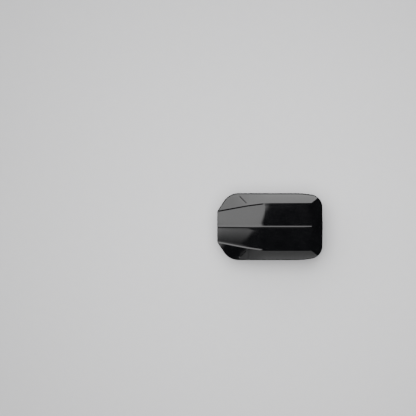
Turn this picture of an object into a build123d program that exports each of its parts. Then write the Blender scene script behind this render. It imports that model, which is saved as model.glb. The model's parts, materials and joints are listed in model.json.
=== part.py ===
"""Hard-shell roof cargo box, opening to one side, clamped to two crossbars.

Frame: X runs along the car, with the nose at -X and the tail at +X. +Z is up.
The lid is hinged along the -Y side and opens on the +Y side.
The origin is under the centre of the box, at the tips of the bar claws.
"""

import os
from math import cos, radians, sin, sqrt, tan

from build123d import *

# ---- driving dimensions (millimetres) ----
LENGTH = 1330
WIDTH = 845
HALF_L = LENGTH / 2
HALF_W = WIDTH / 2
SHEET = 3.2  # wall of the two thermoformed shells
FLOOR_Z = 50  # underside of the base shell
BASE_SHOULDER_Z = 132
BASE_TOP_Z = 160
BASE_INSET = 15  # the base lip stands this far inside the lid's edge
BASE_TAPER = 25
LID_EDGE_Z = 138
LID_DRAFT = 5.5
TOP_Z = 402
TOP_TILT = 3.5  # each half of the lid top falls away from the centre ridge
RIDGE_HALF = 8
NOSE_ARC_END = -70
NOSE_ARC_R = 1054
REAR_BREAK = 505
REAR_SLOPE = 0.565
CREASE_Y = 298
FOLD_X = -290
FOLD_Y = 269
NOSE_CREASE_SLOPE = 0.183
WALL_Y = 405
WALL_Z = 300
NOSE_WALL_DROP = 95

HINGE_Y = -HALF_W + 9
HINGE_Z = 147
HINGE_X = (-280, 10, 285)
HINGE_KNUCKLE_R = 4
HINGE_PIN_R = 2
LEAF_T = 2.5  # sheet steel of the hinge leaves, strikers and lid rails
BORE_GAP = 0.05  # radial clearance of a pin in its bore
PLAY = 0.3  # gap between neighbouring parts

LATCH_X = (-240, 20, 250)
RAIL_Y = 393.5  # middle of the sliding lock rail
RAIL_TRAVEL = 18
LOCK_X = 130
LOCK_Z = 112
CAM_R = RAIL_TRAVEL / (2 * sin(radians(45)))

BAR_X = (-360, 390)  # the two crossbars
CLAMP_Y = (-230, 230)
BAR_WIDTH = 80
PAD_T = 4
CLAW_PIVOT_X = 56
CLAW_PIVOT_Z = 90
CLAW_LEVER = 42
KNOB_R = 32
PIN_OFFSET = 20  # the traveller's two pins stand this far from the spindle

STRUT_X = (-150, 195)
STRUT_BASE = (-352, 112)
STRUT_LID = (-330, 312)
STRUT_STUD_R = 3.5
STRUT_EYE_R = 8.5

STRAP_X = (-150, 190)

CORNERS = ("front_left", "front_right", "rear_left", "rear_right")


def save(part, name):
    """Labels a finished piece and writes it as one STEP file."""
    part.label = name
    export_step(part, f"parts/{name}.step")


# ---- the plan outline and the lid's shape ----
def outline(inset):
    """Plan outline of the lid's bottom edge, moved inwards by inset."""
    half = [(-HALF_L, 195), (-HALF_L + 148, HALF_W), (395, HALF_W), (HALF_L - 5, 388)]
    points = [(x, -y) for x, y in half] + [(HALF_L, 0)] + half[::-1]
    with BuildSketch() as sketch:
        with BuildLine():
            Polyline(*points, close=True)
        make_face()
        for x, radius in ((-HALF_L, 60), (-HALF_L + 148, 225), (395, 1200), (HALF_L - 5, 165), (HALF_L, 4000)):
            fillet([v for v in sketch.vertices() if abs(v.X - x) < 0.5], radius)
        if inset:
            offset(amount=-inset, kind=Kind.INTERSECTION, mode=Mode.REPLACE)
    face = sketch.face()
    return face if face.normal_at().Z > 0 else -face


def ridge_z(x):
    """Height of the lid's centre ridge: a long nose arc, a flat top and a sloping tail."""
    if x < NOSE_ARC_END:
        return TOP_Z - NOSE_ARC_R + sqrt(NOSE_ARC_R**2 - (x - NOSE_ARC_END) ** 2)
    return TOP_Z - REAR_SLOPE * max(0, x - REAR_BREAK)


def crease_y(x):
    """Half distance between the two creases that edge the lid's top."""
    if x < FOLD_X:
        return FOLD_Y + NOSE_CREASE_SLOPE * (x - FOLD_X)
    if x < NOSE_ARC_END:
        return FOLD_Y + (CREASE_Y - FOLD_Y) * (x - FOLD_X) / (NOSE_ARC_END - FOLD_X)
    return CREASE_Y + max(0, x - REAR_BREAK) * REAR_SLOPE / (flank_slope(0) - tan(radians(TOP_TILT)))


def crease_z(x):
    return ridge_z(x) - (crease_y(x) - RIDGE_HALF) * tan(radians(TOP_TILT))


def flank_slope(x):
    """Fall of the side flank per millimetre outwards."""
    if x >= NOSE_ARC_END:
        rise = TOP_Z - (CREASE_Y - RIDGE_HALF) * tan(radians(TOP_TILT)) - WALL_Z
        return rise / (WALL_Y - CREASE_Y)
    share = (NOSE_ARC_END - x) / (NOSE_ARC_END + HALF_L)
    wall = WALL_Z - NOSE_WALL_DROP * share**1.5
    return (crease_z(x) - wall) / (WALL_Y - crease_y(x))


def lid_solid(inset):
    """The lid as one closed form, with every face moved inwards by inset."""
    stations = (-690, -600, -520, -440, -365, FOLD_X, -215, -140, NOSE_ARC_END, REAR_BREAK, 700)
    beyond = 470
    with BuildPart() as roof:
        for x in stations:
            y, z = crease_y(x) - 0.4 * inset, crease_z(x) - 1.1 * inset
            foot = z - flank_slope(x) * (beyond - y)
            half = [(RIDGE_HALF, ridge_z(x) - 1.1 * inset), (y, z), (beyond, foot), (beyond, 0)]
            with BuildSketch(Plane(origin=(x, 0, 0), x_dir=(0, 1, 0), z_dir=(1, 0, 0))):
                with BuildLine():
                    Polyline(*half, *[(-a, b) for a, b in reversed(half)], close=True)
                make_face()
        loft(ruled=True)
    with BuildPart() as walls:
        with BuildSketch(Plane.XY.offset(LID_EDGE_Z - (1 if inset else 0))):
            add(outline(inset))
        extrude(amount=300, taper=LID_DRAFT)
        add(roof.part, mode=Mode.INTERSECT)
    return walls.part


def make_lid_shell():
    with BuildPart() as lid_shell:
        add(lid_solid(0))
        add(lid_solid(SHEET), mode=Mode.SUBTRACT)
    save(lid_shell.part, "lid_shell")


# ---- base shell ----
def tub(inset, floor, top):
    """The base shell's form: an upright lip over tapering walls."""
    with BuildPart() as form:
        with BuildSketch(Plane.XY.offset(BASE_SHOULDER_Z)):
            add(outline(BASE_INSET + inset))
        extrude(amount=top - BASE_SHOULDER_Z)
        with BuildSketch(Plane.XY.offset(BASE_SHOULDER_Z)):
            add(outline(BASE_INSET + inset))
        extrude(amount=floor - BASE_SHOULDER_Z, taper=BASE_TAPER)
    return form.part


CLAMP_SPOTS = [(x, y) for x in BAR_X for y in CLAMP_Y]
FLOOR_TOP = FLOOR_Z + SHEET + 0.3
RIB_Y = (-345, -60, 60, 345)


def make_base_shell():
    slot_l, slot_w = 180, 24
    with BuildPart() as base_shell:
        add(tub(0, FLOOR_Z, BASE_TOP_Z))
        add(tub(SHEET, FLOOR_TOP, BASE_TOP_Z + 1), mode=Mode.SUBTRACT)
        with BuildSketch(Plane.XY.offset(FLOOR_Z - 1)):
            with Locations(*CLAMP_SPOTS):
                Rectangle(slot_l, slot_w)
        extrude(amount=SHEET + 3, mode=Mode.SUBTRACT)
        with BuildSketch(Plane.XY.offset(FLOOR_TOP)):
            with Locations(*[(0, y) for y in RIB_Y]):
                SlotOverall(820, 26)
        extrude(amount=5, taper=30)
        with Locations((LOCK_X, RAIL_Y + 8, LOCK_Z - 1)):
            Box(46, 40, 38, mode=Mode.SUBTRACT)
    save(base_shell.part, "base_shell")


def make_floor_rails():
    """Two steel flats that stiffen the floor between the clamps."""
    for name, y in (("floor_rail_left", -140), ("floor_rail_right", 140)):
        with BuildPart() as rail:
            with BuildSketch(Plane.XY.offset(FLOOR_TOP)):
                with Locations((15, y)):
                    Rectangle(960, 34)
                with Locations((-360, y), (390, y), (15, y)):
                    Circle(3.3, mode=Mode.SUBTRACT)
            extrude(amount=3)
        save(rail.part, name)
    with BuildPart() as floor_screws:
        with Locations(*[(x, y, FLOOR_TOP + 3) for x in (-360, 15, 390) for y in (-140, 140)]):
            Cylinder(7, 3, align=(Align.CENTER, Align.CENTER, Align.MIN))
    save(floor_screws.part, "floor_rail_screws")


# ---- small helpers ----
def block(x0, x1, y0, y1, z0, z1, mode=Mode.ADD):
    """A box given by its lowest and highest corners."""
    with Locations(((x0 + x1) / 2, (y0 + y1) / 2, (z0 + z1) / 2)):
        Box(x1 - x0, y1 - y0, z1 - z0, mode=mode)


def rod_x(x0, x1, y, z, radius, mode=Mode.ADD):
    """A cylinder along X."""
    with Locations(Location(((x0 + x1) / 2, y, z), (0, 90, 0))):
        Cylinder(radius, x1 - x0, mode=mode)


def rod_y(y0, y1, x, z, radius, mode=Mode.ADD):
    """A cylinder along Y."""
    with Locations(Location((x, (y0 + y1) / 2, z), (90, 0, 0))):
        Cylinder(radius, y1 - y0, mode=mode)


def strip_yz(points, x0, x1):
    """A closed outline in the YZ plane, drawn out from x0 to x1."""
    with BuildSketch(Plane(origin=(x0, 0, 0), x_dir=(0, 1, 0), z_dir=(1, 0, 0))) as section:
        with BuildLine():
            Polyline(*points, close=True)
        make_face()
    extrude(section.sketch, amount=x1 - x0)


# ---- hinges on the -Y side ----
WALL_LEAN = tan(radians(LID_DRAFT))


def lid_inner(z):
    """Inner face of the lid's long walls, at height z."""
    return HALF_W - SHEET - (z - LID_EDGE_Z) * WALL_LEAN


def leaf(z0, z1, thick=LEAF_T, gap=PLAY):
    """Section of a plate that lies along the lid's inner wall on the -Y side."""
    y0, y1 = -lid_inner(z0) + gap, -lid_inner(z1) + gap
    return [(y0, z0), (y0 + thick, z0), (y1 + thick, z1), (y1, z1)]


def make_hinges():
    pin_half, leaf_half, middle_half = 31, 30, 12
    bend_z, leaf_top = 172, 205
    bore = HINGE_PIN_R + BORE_GAP
    with BuildPart() as pins:
        for x in HINGE_X:
            rod_x(x - pin_half, x + pin_half, HINGE_Y, HINGE_Z, HINGE_PIN_R)
    save(pins.part, "hinge_pins")
    with BuildPart() as lid_leaves:
        for x in HINGE_X:
            for side in (-1, 1):
                x0, x1 = sorted((x + side * (middle_half + 1), x + side * leaf_half))
                rod_x(x0, x1, HINGE_Y, HINGE_Z, HINGE_KNUCKLE_R)
                strip_yz(leaf(HINGE_Z, bend_z), x0, x1)
            strip_yz(leaf(bend_z - 2, leaf_top), x - leaf_half, x + leaf_half)
            rod_x(x - pin_half, x + pin_half, HINGE_Y, HINGE_Z, bore, mode=Mode.SUBTRACT)
            slot_half = middle_half + 0.5
            slot = (x - slot_half, x + slot_half, HINGE_Y - 9, HINGE_Y + 9, HINGE_Z - 6, bend_z - 4)
            block(*slot, mode=Mode.SUBTRACT)
    save(lid_leaves.part, "hinge_lid_leaves")
    lip_in = -HALF_W + BASE_INSET + SHEET
    stem_y = HINGE_Y + 1.5
    inner_y = lip_in + 0.5
    over_z, top_z = BASE_TOP_Z + 0.5, BASE_TOP_Z + 0.5 + LEAF_T
    with BuildPart() as base_leaves:
        for x in HINGE_X:
            span = (x - middle_half, x + middle_half)
            rod_x(*span, HINGE_Y, HINGE_Z, HINGE_KNUCKLE_R)
            block(*span, stem_y, stem_y + LEAF_T, HINGE_Z, top_z)
            block(*span, stem_y, inner_y + LEAF_T, over_z, top_z)
            block(*span, inner_y, inner_y + LEAF_T, BASE_SHOULDER_Z + 4, top_z)
            rod_x(x - pin_half, x + pin_half, HINGE_Y, HINGE_Z, bore, mode=Mode.SUBTRACT)
    save(base_leaves.part, "hinge_base_leaves")


def make_lid_rails():
    """Steel flats inside the lid's long walls: hinges on one, strikers on the other."""
    section = leaf(208, 230)
    for name, side in (("lid_rail_left", 1), ("lid_rail_right", -1)):
        with BuildPart() as rail:
            strip_yz([(y * side, z) for y, z in section], -330, 315)
        save(rail.part, name)
    rivet_z, rivet_r, head = 190, 4, 2
    face_y = -lid_inner(rivet_z) + PLAY + LEAF_T + 0.4
    with BuildPart() as rivets:
        for x in HINGE_X:
            for dx in (-20, 20):
                rod_y(face_y, face_y + head, x + dx, rivet_z, rivet_r)
    save(rivets.part, "hinge_rivets")


# ---- latches and lock on the +Y side ----
def make_latches():
    pin_z, pin_r = 164, 3
    cheek_half, cheek_t, cheek_top = 8, 3, 185
    inner_y, outer_y = RAIL_Y - 9.5, RAIL_Y + 6.5
    leaf_half, leaf_top = 24, 205
    with BuildPart() as strikers:
        for x in LATCH_X:
            span = (x - cheek_half, x + cheek_half)
            block(*span, inner_y, inner_y + cheek_t, pin_z - 5, cheek_top)
            block(*span, outer_y, outer_y + cheek_t, pin_z - 3.5, cheek_top)
            block(*span, inner_y, lid_inner(cheek_top) - 0.4, cheek_top, cheek_top + cheek_t)
            strip_yz([(-y, z) for y, z in leaf(cheek_top, leaf_top)], x - leaf_half, x + leaf_half)
            rod_y(inner_y + 2, outer_y + 1, x, pin_z, pin_r)
    save(strikers.part, "latch_strikers")
    hook_from, hook_neck, hook_to = RAIL_TRAVEL - 6, RAIL_TRAVEL + 11, RAIL_TRAVEL + 20
    hook_under, hook_top = 168.5, 176
    rail_low, rail_high = 130, 146
    rail_half, fork_half, slot_half = 1.5, 9, 3.6
    y0, y1 = RAIL_Y - rail_half, RAIL_Y + rail_half
    fork = LOCK_X + RAIL_TRAVEL / 2
    with BuildPart() as rail:
        block(LATCH_X[0] - 10, LATCH_X[-1] + 45, y0, y1, rail_low, rail_high)
        for x in LATCH_X:
            block(x + hook_neck, x + hook_to, y0, y1, rail_high - 6, hook_top)
            block(x + hook_from, x + hook_to, y0, y1, hook_under, hook_top)
        block(fork - fork_half, fork + fork_half, y0, y1, LOCK_Z + 5.5, rail_low + 1)
        block(fork - slot_half, fork + slot_half, y0 - 1, y1 + 1, LOCK_Z + 4, rail_low - 1, mode=Mode.SUBTRACT)
    save(rail.part, "lock_rail")
    wall = HALF_W - BASE_INSET - SHEET - PLAY
    guide_half = 12
    with BuildPart() as guides:
        for x in (-170, 75, 205):
            span = (x - guide_half, x + guide_half)
            block(*span, RAIL_Y + 2, wall, rail_low + 3, rail_high + 10)
            block(*span, RAIL_Y - 5, wall, rail_high + 1, rail_high + 6)
            block(*span, RAIL_Y - 5, RAIL_Y - 2, rail_low + 4, rail_high + 6)
    save(guides.part, "lock_rail_guides")


def make_lock():
    """The keyed knob in the base wall; its cam pin drives the fork of the lock rail."""
    outer, inner, cam_y = 414, 398, 386  # outer face, back of the barrel, back of the cam
    barrel_r, plug_r, flange_r, bezel_r = 8, 4, 15, 27
    flange_t, grip_half, grip_long, cam_t = 4, 5.5, 14, 4
    with BuildPart() as housing:
        block(LOCK_X - 22, LOCK_X + 22, inner + 2, outer - flange_t, LOCK_Z - 19, LOCK_Z + 17)
        rod_y(outer - flange_t, outer, LOCK_X, LOCK_Z - 1, bezel_r)
        flat = (LOCK_X - 40, LOCK_X + 40, outer - 5, outer + 1, LOCK_Z + 19, LOCK_Z + 40)
        block(*flat, mode=Mode.SUBTRACT)
        rod_y(inner, outer + 1, LOCK_X, LOCK_Z, barrel_r + 2 * BORE_GAP, mode=Mode.SUBTRACT)
    save(housing.part, "lock_housing")
    grip_end = outer + 8
    with BuildPart() as knob:
        rod_y(inner, outer + 1, LOCK_X, LOCK_Z, barrel_r)
        rod_y(outer + 1, outer + 1 + flange_t, LOCK_X, LOCK_Z, flange_r)
        grip = (LOCK_X - grip_half, LOCK_X + grip_half, outer + 3, grip_end)
        block(*grip, LOCK_Z - grip_long, LOCK_Z + grip_long)
        rod_y(outer - 9, grip_end + 1, LOCK_X, LOCK_Z, plug_r + 2 * BORE_GAP, mode=Mode.SUBTRACT)
    save(knob.part, "lock_knob")
    keyway = (LOCK_X - 0.7, LOCK_X + 0.7, outer - 6, grip_end + 1, LOCK_Z - 2.8, LOCK_Z + 2.8)
    with BuildPart() as plug:
        rod_y(outer - 8.8, grip_end, LOCK_X, LOCK_Z, plug_r)
        block(*keyway, mode=Mode.SUBTRACT)
    save(plug.part, "key_plug")
    pin_x = LOCK_X + CAM_R * sin(radians(45))
    pin_z = LOCK_Z + CAM_R * cos(radians(45))
    with BuildPart() as cam:
        rod_y(cam_y, inner, LOCK_X, LOCK_Z, 5)
        rod_y(cam_y, cam_y + cam_t, LOCK_X, LOCK_Z, barrel_r)
        rod_y(cam_y, inner - 2, pin_x, pin_z, 3)
        with BuildSketch(Plane(origin=(LOCK_X, cam_y, LOCK_Z), x_dir=(1, 0, 1), z_dir=(0, 1, 0))):
            with Locations((CAM_R / 2, 0)):
                SlotCenterToCenter(CAM_R, 9)
        extrude(amount=cam_t)
    save(cam.part, "lock_cam")


# ---- quick clamps that grip the crossbars ----
def make_clamp(place, x, y):
    """One clamp: knob and spindle, traveller, and two claws that close on the bar."""
    claw_half, claw_wide, claw_pin_r = 9, 8, 4
    lever_half, lever_deep = 7, 5
    finger_reach, finger_t = 30, 14
    for kind, side in (("claw_front", -1), ("claw_rear", 1)):
        px = x + side * CLAW_PIVOT_X
        inner_x, outer_x = px - side * claw_wide, px + side * claw_wide
        lever_z = (CLAW_PIVOT_Z - lever_deep, CLAW_PIVOT_Z + lever_deep)
        with BuildPart() as claw:
            block(*sorted((px - side * CLAW_LEVER, px)), y - lever_half, y + lever_half, *lever_z)
            block(*sorted((inner_x, outer_x)), y - claw_half, y + claw_half, 4, CLAW_PIVOT_Z)
            finger = sorted((px - side * finger_reach, outer_x))
            block(*finger, y - claw_half, y + claw_half, 0, finger_t)
            rod_y(y - claw_half, y + claw_half, px, CLAW_PIVOT_Z, 10)
            bore = claw_pin_r + BORE_GAP
            rod_y(y - claw_half - 1, y + claw_half + 1, px, CLAW_PIVOT_Z, bore, mode=Mode.SUBTRACT)
        save(claw.part, f"clamp_{place}_{kind}")
    spindle_r, spindle_low, spindle_high = 5, 62, 118
    knob_low, knob_t, lobe_r, collar_r = 113, 26, 7, 14
    with BuildPart() as knob:
        with BuildSketch(Plane.XY.offset(knob_low)):
            with Locations((x, y)):
                Circle(KNOB_R - 4)
                with PolarLocations(KNOB_R - 6, 6):
                    Circle(lobe_r)
        extrude(amount=knob_t)
        fillet(knob.faces().sort_by(Axis.Z)[-1].edges(), 3)
        with Locations((x, y, knob_low - 2)):
            Cylinder(collar_r, 4)
        with Locations((x, y, spindle_high - 12)):
            bore = spindle_r + 2 * BORE_GAP
            Cylinder(bore, 12, align=(Align.CENTER, Align.CENTER, Align.MIN), mode=Mode.SUBTRACT)
    save(knob.part, f"clamp_{place}_knob")
    with BuildPart() as spindle:
        with Locations((x, y, spindle_low)):
            Cylinder(spindle_r, spindle_high - spindle_low, align=(Align.CENTER, Align.CENTER, Align.MIN))
            Cylinder(8, 2, align=(Align.CENTER, Align.CENTER, Align.MIN))
    save(spindle.part, f"clamp_{place}_spindle")
    cheek_in, cheek_out, cheek_half, nut_half = 9, 11.5, 24, 10
    low, high = CLAW_PIVOT_Z - 12, CLAW_PIVOT_Z + 10
    pin_r = 3
    pin_z = CLAW_PIVOT_Z - lever_deep - pin_r - 0.5
    with BuildPart() as traveller:
        block(x - nut_half, x + nut_half, y - cheek_out, y + cheek_out, CLAW_PIVOT_Z - 2, high)
        for side in (-1, 1):
            cheek = sorted((y + side * cheek_in, y + side * cheek_out))
            block(x - cheek_half, x + cheek_half, *cheek, low, high)
            rod_y(y - nut_half, y + nut_half, x + side * PIN_OFFSET, pin_z, pin_r)
        with Locations((x, y, CLAW_PIVOT_Z)):
            Cylinder(spindle_r + PLAY, 40, mode=Mode.SUBTRACT)
    save(traveller.part, f"clamp_{place}_traveller")


def make_clamp_housings():
    """The fixed frame of each clamp, its pivot pins and the pads that sit on the bar."""
    foot_half, side_half, bridge_half, foot_wide = 90, 74, 38, 30
    plate_in, plate_out, plate_t = 13, 16, 4
    foot_z, bridge_z = FLOOR_TOP, 104
    slot_half, pivot_r, head_r = 12, 4, 6
    with BuildPart() as housings:
        for x, y in CLAMP_SPOTS:
            block(x - foot_half, x + foot_half, y - foot_wide, y + foot_wide, foot_z, foot_z + plate_t)
            for side in (-1, 1):
                plate = sorted((y + side * plate_in, y + side * plate_out))
                block(x - side_half, x + side_half, *plate, foot_z, bridge_z + plate_t)
            bridge = (x - bridge_half, x + bridge_half, y - plate_out, y + plate_out)
            block(*bridge, bridge_z, bridge_z + plate_t)
            slot = (x - foot_half - 1, x + foot_half + 1, y - slot_half, y + slot_half)
            block(*slot, foot_z - 1, foot_z + plate_t + 2, mode=Mode.SUBTRACT)
            with Locations((x, y, bridge_z)):
                Cylinder(5.3, 20, mode=Mode.SUBTRACT)
            for side in (-1, 1):
                px = x + side * CLAW_PIVOT_X
                rod_y(y - 20, y + 20, px, CLAW_PIVOT_Z, pivot_r, mode=Mode.SUBTRACT)
    save(housings.part, "clamp_housings")
    shaft_r = pivot_r - 0.02
    with BuildPart() as pivots:
        for x, y in CLAMP_SPOTS:
            for side in (-1, 1):
                px = x + side * CLAW_PIVOT_X
                rod_y(y - plate_out - 1, y + plate_out + 1, px, CLAW_PIVOT_Z, shaft_r)
                for end in (-1, 1):
                    head = sorted((y + end * (plate_out + 0.2), y + end * (plate_out + 2)))
                    rod_y(*head, px, CLAW_PIVOT_Z, head_r)
    save(pivots.part, "clamp_pivot_pins")
    pad_y, pad_wide = 29, 32
    with BuildPart() as pads:
        with BuildSketch(Plane.XY.offset(FLOOR_Z - PAD_T)):
            with Locations(*[(x, y + side * pad_y) for x, y in CLAMP_SPOTS for side in (-1, 1)]):
                RectangleRounded(BAR_WIDTH + 10, pad_wide, 5)
        extrude(amount=PAD_T)
    save(pads.part, "bar_pads")


# ---- gas struts ----
def make_struts():
    """Two gas struts, each a tube on a base stud and a rod with an open eye on a lid stud."""
    by, bz = STRUT_BASE
    ly, lz = STRUT_LID
    reach = sqrt((ly - by) ** 2 + (lz - bz) ** 2)
    along = ((ly - by) / reach, (lz - bz) / reach)
    tube_r, tube_from, tube_to, bore_r = 9, 9, 130, 4.4
    rod_r, rod_from, ring_t = 4, 45, 4
    base_eye_r, base_stud_r = 12, 6

    def strut_plane(x, start):
        centre = (x, by + along[0] * start, bz + along[1] * start)
        return Plane(origin=centre, x_dir=(1, 0, 0), z_dir=(0, *along))

    for place, x in zip(("front", "rear"), STRUT_X):
        with BuildPart() as cylinder:
            with BuildSketch(strut_plane(x, tube_from)):
                Circle(tube_r)
            extrude(amount=tube_to - tube_from)
            rod_x(x - 7, x + 7, by, bz, base_eye_r)
            with BuildSketch(strut_plane(x, 20)):
                Circle(bore_r)
            extrude(amount=tube_to, mode=Mode.SUBTRACT)
            rod_x(x - 10, x + 10, by, bz, base_stud_r + BORE_GAP, mode=Mode.SUBTRACT)
        save(cylinder.part, f"strut_{place}_cylinder")
        with BuildPart() as rod:
            with BuildSketch(strut_plane(x, rod_from)):
                Circle(rod_r)
            extrude(amount=reach - rod_from - STRUT_EYE_R - 1)
            rod_x(x - 5, x + 5, ly, lz, STRUT_EYE_R + ring_t)
            rod_x(x - 8, x + 8, ly, lz, STRUT_EYE_R, mode=Mode.SUBTRACT)
        save(rod.part, f"strut_{place}_rod")
    web_out, web_in = -16, -12  # each bracket's web, from the strut's middle plane
    lip_y = -HALF_W + BASE_INSET + SHEET + 0.8
    foot_y = -386
    with BuildPart() as base_studs:
        for x in STRUT_X:
            rod_x(x - 15, x + 8, by, bz, base_stud_r)
            block(x + web_out, x + web_in, foot_y, by + 10, bz - 10, bz + 10)
            web = [(lip_y, 140), (lip_y, 156), (-390, 156), (by, bz + 10), (by, bz - 8), (foot_y, bz - 8)]
            strip_yz(web, x + web_out, x + web_in)
            block(x - 28, x + web_in, lip_y - 0.1, lip_y + 2.9, 136, 156)
    save(base_studs.part, "strut_base_brackets")
    plate_half, plate_t, web_half = 22, 3, 8
    with BuildPart() as lid_studs:
        for x in STRUT_X:
            end = x - 30
            slope = flank_slope(end)
            roof_z = crease_z(end) - slope * (abs(ly) - crease_y(end)) - SHEET * 1.6
            rise = plate_half * slope
            top = [(ly - plate_half, roof_z - rise), (ly + plate_half, roof_z + rise)]
            rod_x(x - 15, x + 9, ly, lz, STRUT_STUD_R)
            web = [(ly - web_half, lz - 7), (ly + web_half, lz - 7), top[1], top[0]]
            strip_yz(web, x + web_out, x + web_in)
            under = [(y, z - plate_t) for y, z in reversed(top)]
            strip_yz([*top, *under], end, x + web_in)
    save(lid_studs.part, "strut_lid_brackets")


# ---- luggage straps ----
def make_straps():
    """Two luggage straps over the floor, with the loops that hold them and their buckles."""
    width, thick, half, lift = 25, 1.6, 300, 9
    loop_half, loop_t, foot_reach, foot_t = 20, 4.8, 24, 3
    buckle_half, buckle_from, buckle_to, rim = 17, 90, 130, 4
    z = FLOOR_TOP + lift
    for name, x in zip(("luggage_strap_front", "luggage_strap_rear"), STRAP_X):
        with BuildPart() as strap:
            block(x - width / 2, x + width / 2, -half, half, z, z + thick)
        save(strap.part, name)
    with BuildPart() as loops:
        for x in STRAP_X:
            span = (x - loop_half, x + loop_half)
            for side in (-1, 1):
                near, far = side * (half + 0.2), side * (half + 0.2 + loop_t)
                block(*span, *sorted((near, far)), FLOOR_TOP, z + 6)
                block(*span, *sorted((far, side * (half + foot_reach))), FLOOR_TOP, FLOOR_TOP + foot_t)
    save(loops.part, "strap_anchors")
    with BuildPart() as buckles:
        for x in STRAP_X:
            outer = (x - buckle_half, x + buckle_half, buckle_from, buckle_to)
            block(*outer, z - 3.5, z + thick + 4)
            slot = (x - width / 2 - 0.5, x + width / 2 + 0.5, buckle_from - rim, buckle_to + rim)
            block(*slot, z - 0.2, z + thick + 0.2, mode=Mode.SUBTRACT)
    save(buckles.part, "strap_buckles")


def main():
    os.makedirs("parts", exist_ok=True)
    make_lid_shell()
    make_base_shell()
    make_floor_rails()
    make_hinges()
    make_lid_rails()
    make_latches()
    make_lock()
    for place, (x, y) in zip(CORNERS, CLAMP_SPOTS):
        make_clamp(place, x, y)
    make_clamp_housings()
    make_struts()
    make_straps()


main()
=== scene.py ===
"""Roof cargo box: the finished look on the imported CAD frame, in metres."""

import json
import math

import bmesh
import bpy
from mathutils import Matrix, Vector


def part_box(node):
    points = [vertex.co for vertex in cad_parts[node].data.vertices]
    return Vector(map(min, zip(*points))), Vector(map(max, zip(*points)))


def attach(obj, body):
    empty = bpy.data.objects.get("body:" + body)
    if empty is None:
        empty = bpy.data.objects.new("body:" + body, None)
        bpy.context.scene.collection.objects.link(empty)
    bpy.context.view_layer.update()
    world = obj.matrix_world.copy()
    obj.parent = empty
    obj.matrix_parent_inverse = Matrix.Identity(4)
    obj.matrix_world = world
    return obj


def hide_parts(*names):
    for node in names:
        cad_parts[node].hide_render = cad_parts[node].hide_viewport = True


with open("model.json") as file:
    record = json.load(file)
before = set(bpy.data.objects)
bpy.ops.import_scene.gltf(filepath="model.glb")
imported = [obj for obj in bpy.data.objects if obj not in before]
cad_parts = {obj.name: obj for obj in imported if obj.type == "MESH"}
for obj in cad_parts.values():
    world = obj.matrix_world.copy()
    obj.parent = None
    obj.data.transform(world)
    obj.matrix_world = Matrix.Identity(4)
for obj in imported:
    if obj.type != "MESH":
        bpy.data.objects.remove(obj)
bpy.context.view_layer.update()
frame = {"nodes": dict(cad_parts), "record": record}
NODES = frame["nodes"]
MM = 0.001


# ---- node helpers ----
class Tree:
    """A short way to build a node tree."""

    def __init__(self, tree):
        self.tree = tree

    def add(self, kind, inputs=(), **props):
        node = self.tree.nodes.new(kind)
        for key, value in props.items():
            setattr(node, key, value)
        for key, value in dict(inputs).items():
            if isinstance(value, bpy.types.NodeSocket):
                self.tree.links.new(value, node.inputs[key])
            else:
                node.inputs[key].default_value = value
        return node

    def math(self, op, a, b=0.0):
        return self.add("ShaderNodeMath", {0: a, 1: b}, operation=op).outputs[0]

    def step(self, value, low, high):
        """0 below low, 1 above high, smooth between; low may be above high."""
        limits = {0: value, 1: low, 2: high}
        return self.add("ShaderNodeMapRange", limits, interpolation_type="SMOOTHSTEP").outputs[0]


# ---- materials ----
PATTERN = (0.3, 0.7)  # the part of the mixed noise over which colour and roughness change
CLOUD_SCALE = 9.0
BRUSHED = (3.0, 90.0, 90.0)  # noise drawn out along X, for brushed metal


def wave(tree, place, scale, distortion, direction):
    """One set of parallel threads of a weave."""
    inputs = {"Vector": place, "Scale": scale, "Distortion": distortion}
    return tree.add("ShaderNodeTexWave", inputs, bands_direction=direction).outputs["Fac"]


def noise(tree, place, scale, detail):
    inputs = {"Vector": place, "Scale": scale, "Detail": detail}
    return tree.add("ShaderNodeTexNoise", inputs).outputs[0]


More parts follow.
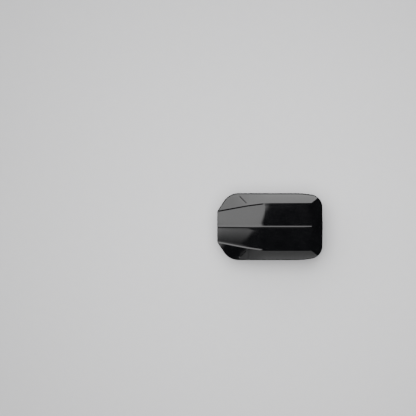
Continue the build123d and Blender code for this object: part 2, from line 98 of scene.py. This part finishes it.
def material(name, color, rough, metallic=0.0, spread=0.12, grain=400, bump=0.1, depth=0.0002,
             scratch=0.0, coat=0.0, specular=0.5, sheen=0.0, weave=0):
    """A procedural finish: colour variation, a roughness map, fine relief and optional brushing or weave."""
    mat = bpy.data.materials.new(name)
    mat.use_nodes = True
    mat.node_tree.nodes.clear()
    t = Tree(mat.node_tree)
    place = t.add("ShaderNodeTexCoord").outputs["Object"]
    cloud = noise(t, place, CLOUD_SCALE, 5.0)
    fine = noise(t, place, float(grain), 3.0)
    height = fine
    if scratch:
        stretched = t.add("ShaderNodeMapping", {"Vector": place, "Scale": BRUSHED}).outputs[0]
        height = noise(t, stretched, scratch, 4.0)
    if weave:
        along = wave(t, place, weave, 0.6, "X")
        across = wave(t, place, weave * 0.8, 0.4, "Y")
        height = t.math("ADD", t.math("MULTIPLY", along, across), t.math("MULTIPLY", fine, 0.3))
    mixed = t.math("ADD", t.math("MULTIPLY", cloud, 0.6), t.math("MULTIPLY", height, 0.4))
    ramp_node = t.add("ShaderNodeValToRGB", {"Fac": mixed})
    darkest = [max(0.0, c * (1 - spread)) for c in color]
    palest = [min(1.0, c * (1 + spread) + 0.002) for c in color]
    for stop, at, shade in zip(ramp_node.color_ramp.elements, PATTERN, (darkest, palest)):
        stop.position = at
        stop.color = (*shade, 1)
    low, high = PATTERN
    smoothest, roughest = rough * 0.85, min(1.0, rough * 1.18)
    limits = {0: mixed, 1: low, 2: high, 3: smoothest, 4: roughest}
    rough_map = t.add("ShaderNodeMapRange", limits)
    relief = t.add("ShaderNodeBump", {"Height": height, "Strength": bump, "Distance": depth})
    shader = t.add("ShaderNodeBsdfPrincipled", {
        "Base Color": ramp_node.outputs[0],
        "Roughness": rough_map.outputs[0],
        "Normal": relief.outputs[0],
        "Metallic": metallic,
        "Specular IOR Level": specular,
        "Coat Weight": coat,
        "Coat Roughness": 0.04,
        "Sheen Weight": sheen,
    })
    t.add("ShaderNodeOutputMaterial", {"Surface": shader.outputs[0]})
    return mat


GLOSS = material("lid_gloss", (0.0020, 0.0021, 0.0026), 0.09, spread=0.2, grain=55, bump=0.02,
                 depth=0.0003, coat=1.0)
EDGE = material("lid_edge", (0.011, 0.0112, 0.0122), 0.42, spread=0.10, grain=900, bump=0.25,
                specular=0.0)
INSIDE = material("lid_inside", (0.03, 0.031, 0.033), 0.55, grain=700, bump=0.35, specular=0.3)
LID_SKINS = (GLOSS, EDGE, INSIDE)
ON_TOP, ON_WALL, ON_INSIDE = range(3)  # places in LID_SKINS

# Every slot but the lid's: colour, roughness, and what differs from material()'s own values.
LOOKS = {
    "base_abs": ((0.020, 0.0205, 0.022), 0.5, dict(grain=650, bump=0.5, depth=0.0004, specular=0.35)),
    "rail_steel": ((0.46, 0.47, 0.48), 0.42, dict(metallic=0.7, scratch=6.0, bump=0.25)),
    "hinge_steel": ((0.50, 0.50, 0.51), 0.42, dict(metallic=0.7, scratch=9.0, bump=0.3)),
    "pin_steel": ((0.62, 0.62, 0.63), 0.18, dict(metallic=1.0, spread=0.05, scratch=12.0, bump=0.08)),
    "fastener": ((0.55, 0.55, 0.55), 0.38, dict(metallic=0.7, grain=900, bump=0.2)),
    "bracket_black": ((0.02, 0.02, 0.022), 0.48, dict(grain=1100, bump=0.35)),
    "nylon_grey": ((0.09, 0.09, 0.095), 0.5, dict(grain=800, bump=0.3)),
    "nylon_black": ((0.018, 0.018, 0.019), 0.42, dict(grain=1000, bump=0.35)),
    "key_brass": ((0.72, 0.58, 0.32), 0.28, dict(metallic=1.0, grain=1500, bump=0.1)),
    "cam_steel": ((0.42, 0.42, 0.43), 0.33, dict(metallic=1.0, scratch=15.0, bump=0.2)),
    "claw_coat": ((0.03, 0.03, 0.032), 0.55, dict(grain=500, bump=0.5, depth=0.0004)),
    "pad_rubber": ((0.022, 0.022, 0.022), 0.8, dict(grain=1200, bump=0.6, specular=0.25)),
    "strut_body": ((0.012, 0.012, 0.013), 0.26, dict(grain=300, bump=0.06, coat=0.3)),
    "strut_rod": ((0.62, 0.63, 0.64), 0.12, dict(metallic=1.0, spread=0.04, scratch=20.0, bump=0.04)),
    "webbing": ((0.035, 0.035, 0.038), 0.75,
                dict(grain=1500, bump=0.9, depth=0.0005, sheen=0.35, weave=260)),
}
FINISHES = {slot: material(slot, color, rough, **rest) for slot, (color, rough, rest) in LOOKS.items()}
for part in frame["record"]["subparts"]:
    if part["material_slot"] in FINISHES:
        skin = NODES[part["node"]].data
        skin.materials.clear()
        skin.materials.append(FINISHES[part["material_slot"]])

# ---- softened edges on moulded and pressed parts, widths in millimetres ----
SOFT_CLAW = 1.0
SOFT_TRAVELLER = 0.6
SOFT_NODES = {
    "strap_buckles": 1.2,
    "strap_anchors": 0.8,
    "clamp_housings": 0.7,
    "lock_housing": 0.8,
    "lock_rail_guides": 0.6,
    "lock_knob": 0.8,
    "strut_base_brackets": 0.5,
    "strut_lid_brackets": 0.5,
    "lock_rail": 0.4,
    "bar_pads": 0.8,
}


def soft_width(node):
    """How wide a node's edges are rounded, 0 for not at all."""
    if "_claw_" in node:
        return SOFT_CLAW
    if "_traveller" in node:
        return SOFT_TRAVELLER
    return SOFT_NODES.get(node, 0)


for node, obj in NODES.items():
    width = soft_width(node)
    if width:
        soft = obj.modifiers.new("soft_edges", "BEVEL")
        soft.width = width * MM
        soft.segments = 2
        soft.limit_method = "ANGLE"
        soft.angle_limit = math.radians(40)
        soft.use_clamp_overlap = True

# ---- the lid: its numbers repeat the CAD's, in millimetres ----
HALF_L = 665
HALF_W = 422.5
SHEET = 3.2
EDGE_Z = 138  # lower edge
TOP_Z = 402  # top of the spine
TILT = math.tan(math.radians(3.5))  # fall of the top panels away from the spine
DRAFT = math.tan(math.radians(5.5))  # lean of the walls
ARC_END = -70  # towards the nose from here, the spine follows an arc
ARC_R = 1054
REAR_BREAK = 505  # the tail slopes from here
REAR_SLOPE = 0.565
CREASE_Y = 298  # crease between top panel and flank, from the arc to the tail
FOLD_X = -290  # where the crease bends, and how far out it is there
FOLD_Y = 269
CREASE_SLOPE = 0.183  # how fast it closes in from there to the tip
WALL_Y = 405  # where the flank meets the wall
WALL_Z = 300
NOSE_DROP = 95  # how much lower than WALL_Z the flank ends at the tip
RIDGE_HALF = 8  # half of the CAD's flat ridge
FLANK = (TOP_Z - (CREASE_Y - RIDGE_HALF) * TILT - WALL_Z) / (WALL_Y - CREASE_Y)
BEYOND = 470  # the roof form runs on past the walls, which then cut it
# (x, y, corner radius) of the outline on one side, from nose to tail, and the bowed tail's middle
CORNERS = [(-HALF_L, 195, 60), (-HALF_L + 148, HALF_W, 225), (395, HALF_W, 1200), (HALF_L - 5, 388, 165)]
TAIL_MIDDLE = (HALF_L, 0, 4000)

# ---- relief that only this lid has, in millimetres ----
SPINE_DROP = 5.0  # height of the spine over the panels beside it
SPINE_TOP = 2.5  # its half widths at the top and at the foot
SPINE_FOOT = 13.0
CROWN = 2.5  # height of the top panels' crown
PANEL_RUNS = 8  # straight runs that make up the crown
CREASE_STEP = 8.5  # depth of the step inside the nose creases
STEP_W = 16.0
GROOVE = 9.0  # depth of the groove along the corner fold
GROOVE_HALF = 8
INNER_DROP = 1.1  # the inner form lies this many sheets lower
INNER_CREASE = 0.4  # and its creases this many sheets nearer the spine
# Profiles along the length: the spine's goes by x, the others by the way from the middle to the nose.
SPINE_SHARE = [(-700, 1), (420, 1), (585, 0.1), (700, 0.1)]
STEP_SHARE = [(-700, 0.01), (70, 0.01), (230, 0.8), (320, 1), (600, 1), (660, 0.6), (700, 0.6)]
FOLD_OUT = [(-700, 14), (290, 14), (385, 128), (480, 151), (700, 190)]
FOLD_RISE = [(-700, 0), (290, 0), (385, 14), (480, 8), (570, 0), (700, 0)]
GROOVE_SHARE = [
    (-700, 0.01), (290, 0.01), (305, 1), (375, 1), (400, 0.25), (480, 0.15), (520, 0.01), (700, 0.01),
]
FOLD_KINK = -385  # the corner fold bends here, so the roof has a section here too
NOSE_STATIONS = range(-690, ARC_END, 10)
TAIL_STATIONS = (ARC_END, 0, 100, 200, 300, 400, 420, 460, REAR_BREAK, 520, 600, 700)


def ramp(value, points):
    """Straight runs between (value, result) points."""
    for (a, fa), (b, fb) in zip(points, points[1:]):
        if value <= b:
            return fa + (fb - fa) * max(0.0, value - a) / (b - a)
    return points[-1][1]


def ridge_z(x):
    if x < ARC_END:
        return TOP_Z - ARC_R + math.sqrt(ARC_R**2 - (x - ARC_END) ** 2)
    return TOP_Z - REAR_SLOPE * max(0, x - REAR_BREAK)


def crease_y(x):
    if x < FOLD_X:
        return FOLD_Y + CREASE_SLOPE * (x - FOLD_X)
    if x < ARC_END:
        return FOLD_Y + (CREASE_Y - FOLD_Y) * (x - FOLD_X) / (ARC_END - FOLD_X)
    return CREASE_Y + max(0, x - REAR_BREAK) * REAR_SLOPE / (FLANK - TILT)


def flank_slope(x, crease_z):
    """Fall of the flank from the crease to the wall; on the nose its foot gets lower."""
    if x >= ARC_END:
        return FLANK
    share = (ARC_END - x) / (ARC_END + HALF_L)
    return (crease_z - WALL_Z + NOSE_DROP * share**1.5) / (WALL_Y - crease_y(x))


def half_section(x, inset):
    """One half of the lid's section at x, from the spine out to below the edge."""
    yc = crease_y(x) - INNER_CREASE * inset
    zr = ridge_z(x)
    zc = zr - (crease_y(x) - RIDGE_HALF) * TILT
    slope = flank_slope(x, zc)
    drop = SPINE_DROP * ramp(x, SPINE_SHARE)
    step = CREASE_STEP * ramp(-x, STEP_SHARE)
    inner_y, inner_z = yc - STEP_W, zc + STEP_W * TILT - step
    points = [(SPINE_TOP, zr), (SPINE_FOOT, zr - drop)]
    for k in range(1, PANEL_RUNS + 1):
        u = k / PANEL_RUNS
        y = SPINE_FOOT + (inner_y - SPINE_FOOT) * u
        points.append((y, zr - drop + (inner_z - zr + drop) * u + CROWN * 4 * u * (1 - u)))
    points.append((yc, zc))
    fold_y = yc + ramp(-x, FOLD_OUT)
    rise = ramp(-x, FOLD_RISE)
    groove = GROOVE * ramp(-x, GROOVE_SHARE)
    for dy, dip in ((-GROOVE_HALF, 0), (0, groove), (GROOVE_HALF, 0)):
        share = (fold_y + dy - yc) / (fold_y - yc)
        points.append((fold_y + dy, zc - slope * (fold_y + dy - yc) + rise * min(1, share) - dip))
    points.append((BEYOND, zc - slope * (BEYOND - yc) + rise))
    points = [(y, z - INNER_DROP * inset) for y, z in points]
    return [*points, (BEYOND, 0)]


def outline(inset):
    """Points and outward normals round the lid's bottom edge."""
    ring = [(x, -y, r) for x, y, r in CORNERS] + [TAIL_MIDDLE] + CORNERS[::-1]
    degrees_per_point = 3
    result = []
    for i, (x, y, radius) in enumerate(ring):
        here = Vector((x, y))
        into = (here - Vector(ring[i - 1][:2])).normalized()
        out = (Vector(ring[(i + 1) % len(ring)][:2]) - here).normalized()
        turn = into.angle_signed(out)
        bend = abs(turn)
        start = here - into * radius * math.tan(bend / 2)
        normal = Vector((into.y, -into.x))
        centre = start - normal * radius
        steps = max(3, round(math.degrees(bend) / degrees_per_point))
        for k in range(steps + 1):
            a = bend * k / steps
            n = Vector((
                normal.x * math.cos(a) - normal.y * math.sin(a),
                normal.x * math.sin(a) + normal.y * math.cos(a),
            ))
            result.append((centre + n * radius - n * inset, n))
    return result


def placed(name, bm, skins=()):
    """Turns a bmesh into an object of the scene."""
    mesh = bpy.data.meshes.new(name)
    bm.to_mesh(mesh)
    bm.free()
    for skin in skins:
        mesh.materials.append(skin)
    obj = bpy.data.objects.new(name, mesh)
    bpy.context.scene.collection.objects.link(obj)
    return obj


def closed(name, rings):
    """A closed solid through rings of points with the same count."""
    bm = bmesh.new()
    loops = [[bm.verts.new(Vector(p) * MM) for p in ring] for ring in rings]
    for low, high in zip(loops, loops[1:]):
        for i in range(len(low)):
            j = (i + 1) % len(low)
            bm.faces.new((low[i], low[j], high[j], high[i]))
    bm.faces.new(loops[0][::-1])
    bm.faces.new(loops[-1])
    bmesh.ops.recalc_face_normals(bm, faces=bm.faces)
    return placed(name, bm)


def baked(obj):
    """Applies the object's modifiers."""
    dg = bpy.context.evaluated_depsgraph_get()
    mesh = bpy.data.meshes.new_from_object(obj.evaluated_get(dg))
    obj.modifiers.clear()
    obj.data = mesh
    return obj


def cut(obj, tool, operation):
    """Applies a boolean operation and removes its tool."""
    mod = obj.modifiers.new("cut", "BOOLEAN")
    mod.object = tool
    mod.operation = operation
    mod.solver = "EXACT"
    baked(obj)
    bpy.data.objects.remove(tool)
    return obj


def lid_form(inset):
    """The lid as one closed form: roof sections cut by the drafted walls."""
    sections = []
    for x in sorted({*NOSE_STATIONS, *TAIL_STATIONS, FOLD_KINK}):
        half = half_section(x, inset)
        sections.append([(x, y, z) for y, z in half] + [(x, -y, z) for y, z in reversed(half)])
    roof = closed("roof", sections)
    ring = outline(inset)
    below = 2 if inset else 0  # the inner form reaches past the lower edge
    above = 300  # and both reach past the spine
    walls = []
    for z in (EDGE_Z - below, EDGE_Z + above):
        lean = (z - EDGE_Z) * DRAFT
        walls.append([((p - n * lean).x, (p - n * lean).y, z) for p, n in ring])
    return cut(roof, closed("walls", walls), "INTERSECT")


def choose_skins(bm):
    """Gloss on top, satin on the steep walls, and a matt inside."""
    middle = Vector((0, 0, 0.15))
    for face in bm.faces:
        outward = face.normal.dot(face.calc_center_median() - middle) > 0
        steep = abs(face.normal.z) < 0.3
        face.material_index = (ON_WALL if steep else ON_TOP) if outward else ON_INSIDE
        face.smooth = True


def weigh_edges(bm):
    """Bevel weights on the outer folds above the lower edge, the most where a fold is sharp."""
    weight = bm.edges.layers.float.new("bevel_weight_edge")
    least, span = 7, 12  # degrees at which the weight starts, and over which it grows to full
    slight, strong = 0.35, 0.8  # full weights at the wall's top and the spine, and elsewhere
    above, spine_half = 0.15, 0.02
    for edge in bm.edges:
        if len(edge.link_faces) == 2 and all(f.material_index != ON_INSIDE for f in edge.link_faces):
            sharp = min(1.0, (math.degrees(edge.calc_face_angle()) - least) / span)
            if sharp > 0 and min(v.co.z for v in edge.verts) > above:
                middle = (edge.verts[0].co + edge.verts[1].co) / 2
                wall_top = any(f.material_index == ON_WALL for f in edge.link_faces)
                edge[weight] = sharp * (slight if wall_top or abs(middle.y) < spine_half else strong)


def make_lid():
    """The lid's skin, with its folds rounded, in place of the CAD's lid shell."""
    merge, sliver = 0.3 * MM, 0.1 * MM
    lid = cut(lid_form(0), lid_form(SHEET), "DIFFERENCE")
    lid.name = "lid_skin"
    bm = bmesh.new()
    bm.from_mesh(lid.data)
    bmesh.ops.remove_doubles(bm, verts=bm.verts, dist=merge)
    bmesh.ops.dissolve_degenerate(bm, edges=bm.edges, dist=sliver)
    bmesh.ops.recalc_face_normals(bm, faces=bm.faces)
    choose_skins(bm)
    weigh_edges(bm)
    bm.to_mesh(lid.data)
    bm.free()
    for mat in LID_SKINS:
        lid.data.materials.append(mat)
    mod = lid.modifiers.new("round", "BEVEL")
    mod.limit_method = "WEIGHT"
    mod.width = 6 * MM
    mod.segments = 4
    mod.use_clamp_overlap = True
    mod.loop_slide = True
    baked(lid)
    lid.data.set_sharp_from_angle(angle=math.radians(24))
    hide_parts("lid_shell")
    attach(lid, "lid")


make_lid()

# ---- luggage straps, in metres ----
WEB_HALF = 0.0123  # half the webbing's width
WEB_T = 0.0013
WEB_WANDER = 0.0003  # how far its edges stray sideways
WEB_STRIPS = 10  # faces across it
SELVEDGE = 0.0003  # lift of its edges
SEWN_Y = 0.275  # middle of each sewn box
STITCH = (0.0011, 0.0004, 0.0003)  # half sizes of one stitch
STITCH_PITCH = 0.003
SEWN_LIFT = 0.0003
THREAD = material("thread", (0.32, 0.32, 0.33), 0.7, grain=2500, bump=0.4, sheen=0.2)


def strap_path(high):
    """The webbing's middle line in (y, z): over one anchor loop, along the floor, over the other.

    high is the upper corner of the CAD strap's box.
    """
    floor_z = high.z
    loop_z = high.z + 0.0068  # over the loop's bar
    inner, outer = high.y - 0.0012, high.y + 0.0066  # legs on either side of the bar
    bend = 0.0035
    end = [
        (outer, 0.0575),
        (outer, loop_z - bend),
        (outer - 0.0012, loop_z - 0.0008),
        (outer - bend, loop_z),
        (inner + 0.0012, loop_z - 0.0002),
        (inner - 0.001, loop_z - 0.003),
        (inner - bend, floor_z + 0.0005),
    ]
    points, dip, ripple, ripple_rate = 60, 0.0035, 0.0004, 37  # the run sags and ripples a little
    run = []
    for k in range(1, points):
        v = k / points
        y = inner - bend - (2 * inner - 2 * bend) * v
        run.append((y, floor_z - dip * math.sin(math.pi * v) ** 0.7 + ripple * math.sin(v * ripple_rate)))
    return [*end, *run, *[(-y, z) for y, z in reversed(end)]]


def make_webbing(name, path, middle):
    """A strip of webbing with thickened selvedges along a path in (y, z)."""
    bm = bmesh.new()
    grid = []
    for j, (y, z) in enumerate(path):
        row = []
        for i in range(WEB_STRIPS + 1):
            u = i / WEB_STRIPS * 2 - 1
            x = middle + u * WEB_HALF + WEB_WANDER * math.sin(j * 0.45)
            row.append(bm.verts.new((x, y, z + SELVEDGE * abs(u) ** 6)))
        grid.append(row)
    for a, b in zip(grid, grid[1:]):
        for i in range(WEB_STRIPS):
            bm.faces.new((a[i], a[i + 1], b[i + 1], b[i])).smooth = True
    bmesh.ops.recalc_face_normals(bm, faces=bm.faces)
    strip = placed(name, bm, [FINISHES["webbing"]])
    mod = strip.modifiers.new("thick", "SOLIDIFY")
    mod.thickness = WEB_T
    mod.offset = 0
    return baked(strip)


def make_stitches(name, middle, centre_y, z):
    """A sewn box with a cross, in pale thread, as short raised stitches."""
    half, long = 0.0095, 0.012
    corners = [(-half, -long), (half, -long), (half, long), (-half, long), (-half, -long), (half, long)]
    runs = [*zip(corners, corners[1:]), (corners[1], corners[3])]
    bm = bmesh.new()
    for (x0, y0), (x1, y1) in runs:
        run = Vector((x1 - x0, y1 - y0, 0))
        turn = run.to_track_quat("X", "Z").to_matrix().to_4x4()
        count = max(2, round(run.length / STITCH_PITCH))
        for k in range(count):
            at = Vector((x0, y0, 0)) + run * ((k + 0.5) / count)
            stitch = bmesh.ops.create_icosphere(bm, subdivisions=1, radius=1)["verts"]
            bmesh.ops.scale(bm, vec=STITCH, verts=stitch)
            bmesh.ops.transform(bm, matrix=turn, verts=stitch)
            bmesh.ops.translate(bm, vec=(middle + at.x, centre_y + at.y, z), verts=stitch)
    for face in bm.faces:
        face.smooth = True
    obj = placed(name, bm, [THREAD])
    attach(obj, "base")
    return obj


def make_strap(node):
    """One strap's webbing and its two sewn boxes, in place of the CAD's strap."""
    low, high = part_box(node)
    middle = (low.x + high.x) / 2
    path = strap_path(high)
    strap = make_webbing(node + "_webbing", path, middle)
    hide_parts(node)
    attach(strap, "base")
    sewn = [make_stitches(f"{node}_stitches_{k}", middle, side * SEWN_Y, high.z + SEWN_LIFT)
            for k, side in enumerate((-1, 1))]


for name in ("luggage_strap_front", "luggage_strap_rear"):
    make_strap(name)


# ---- floor, light and camera, in metres ----
def make_floor():
    """A pale studio floor, a hair below the claw tips."""
    bpy.ops.mesh.primitive_plane_add(size=60, location=(0, 0, -0.0006))
    floor = bpy.context.object
    floor.name = "floor"
    finish = material("floor", (0.66, 0.66, 0.67), 0.75, spread=0.015, grain=60, bump=0.02, specular=0.2)
    floor.data.materials.append(finish)


def make_world():
    """A soft studio sky, bright towards the nose and the opening side and dark overhead."""
    front_gain, beside_gain, far_gain, rim_gain = 2.05, 0.35, 0.5, 0.42
    least = 0.008  # what even the darkest part of the sky gives
    backdrop = 0.42  # the even grey that the camera itself sees
    world = bpy.data.worlds.new("studio")
    bpy.context.scene.world = world
    world.use_nodes = True
    world.node_tree.nodes.clear()
    t = Tree(world.node_tree)
    way = t.add("ShaderNodeSeparateXYZ", {0: t.add("ShaderNodeTexCoord").outputs["Generated"]}).outputs
    nose = t.math("MULTIPLY", way[0], -1.0)
    side = way[1]
    # front is the bright part, far a glow low on the hinge side, rim the haze along the horizon.
    lean = t.math("ADD", nose, t.math("MULTIPLY", side, 0.6))
    lean = t.math("ADD", lean, t.math("MULTIPLY", t.math("MINIMUM", side, 0.0), 1.35))
    front = t.math("MULTIPLY", t.step(lean, 0.03, 0.125), t.step(side, -0.3, 0.12))
    far = t.math("MULTIPLY", t.step(side, -0.55, -0.9), t.step(nose, 0.45, 0.15))
    rim = t.step(way[2], 0.22, 0.0)
    beside = t.math("MULTIPLY", t.step(side, 0.35, 0.9), beside_gain)
    total = t.math("MULTIPLY", front, t.math("ADD", front_gain, beside))
    for term, gain in ((far, far_gain), (rim, rim_gain)):
        total = t.math("ADD", total, t.math("MULTIPLY", term, gain))
    total = t.math("ADD", total, least)
    seen = t.add("ShaderNodeLightPath").outputs["Is Camera Ray"]
    reflected = t.math("MULTIPLY", total, t.math("SUBTRACT", 1.0, seen))
    total = t.math("ADD", reflected, t.math("MULTIPLY", seen, backdrop))
    sky = t.add("ShaderNodeBackground", {"Color": (1, 1, 1, 1), "Strength": total})
    t.add("ShaderNodeOutputWorld", {"Surface": sky.outputs[0]})


def make_light(name, place, size, energy):
    """A soft square light shining straight down, kept out of the gloss."""
    lamp = bpy.data.lights.new(name, "AREA")
    lamp.size = size
    lamp.energy = energy
    obj = bpy.data.objects.new(name, lamp)
    obj.location = place
    obj.visible_glossy = False
    bpy.context.scene.collection.objects.link(obj)


def make_camera():
    """Straight above, aimed past the nose and a little towards the opening side."""
    height = 16.0
    view_width = 5.24992  # what the view spans at the lid's lower edge
    cam = bpy.data.cameras.new("camera")
    cam.lens = cam.sensor_width * (height - EDGE_Z * MM) / view_width
    cam.clip_end = 100
    obj = bpy.data.objects.new("camera", cam)
    obj.location = (-0.782, 0.235, height)
    bpy.context.scene.collection.objects.link(obj)
    bpy.context.scene.camera = obj


make_floor()
make_world()
make_light("overhead", place=(0.0, 0.3, 5.0), size=6.0, energy=420)
make_camera()
